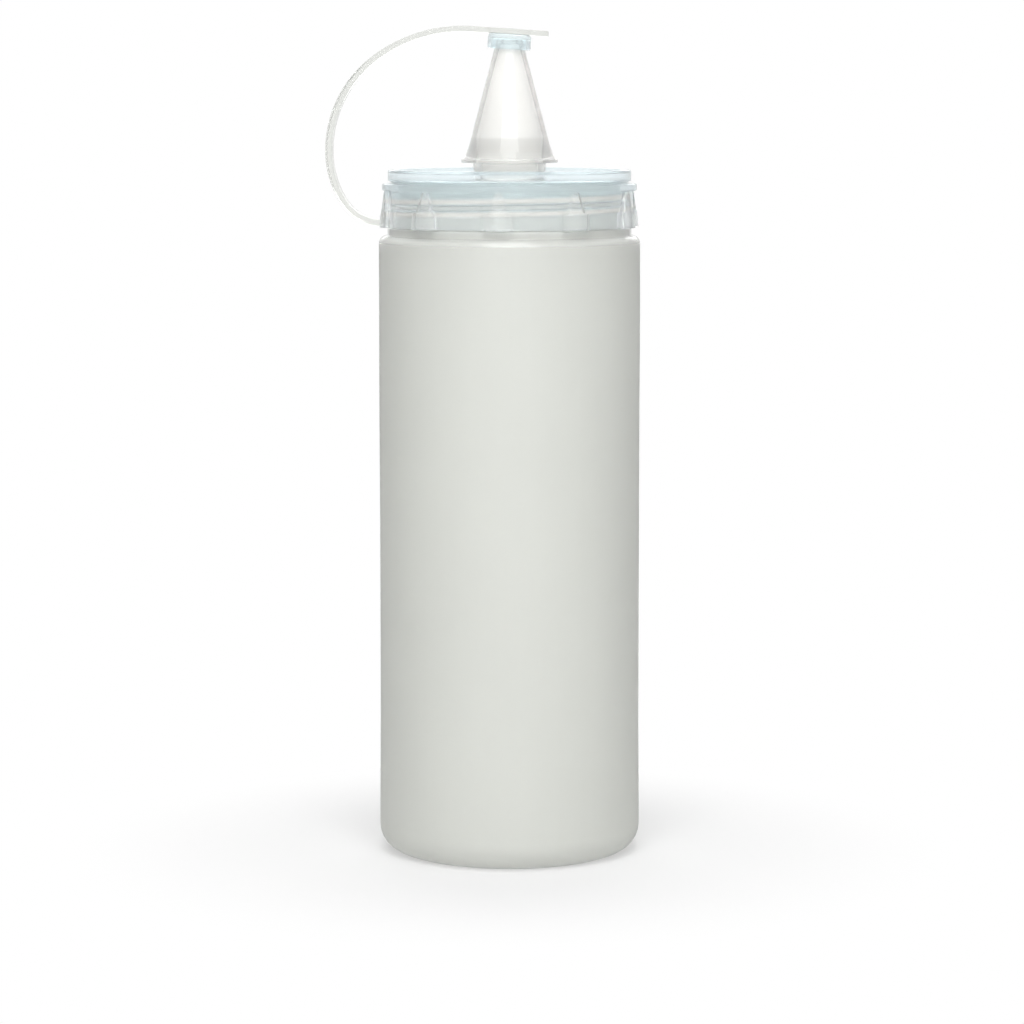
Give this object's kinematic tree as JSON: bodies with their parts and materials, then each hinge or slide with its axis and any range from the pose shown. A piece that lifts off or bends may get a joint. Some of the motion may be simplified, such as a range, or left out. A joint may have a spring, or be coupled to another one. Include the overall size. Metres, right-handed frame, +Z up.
{
  "type": "oil dispenser bottle",
  "caption": "Tall translucent squeeze bottle for oil, with a screw-on lid, a cone nozzle and a tip plug on a looped strap.",
  "frame": {"origin": "middle of the base, on the bottle's axis, in the plane that the bottle stands on", "axes": "+Z up along the bottle's axis; -Y is the front; the tether loops out on the -X side"},
  "size_m": [0.0762, 0.0638, 0.2],
  "materials": {
    "bottle_plastic": "frosted, translucent, soft satin sheen",
    "cap_plastic": "milky, see-through, faint cool tint, moulded gloss",
    "nozzle_plastic": "milky, see-through, neutral to warm, moulded gloss"
  },
  "bodies": {
    "root": {"bottle": "bottle_plastic", "cap": "cap_plastic", "nozzle": "nozzle_plastic"}
  },
  "joints": []
}
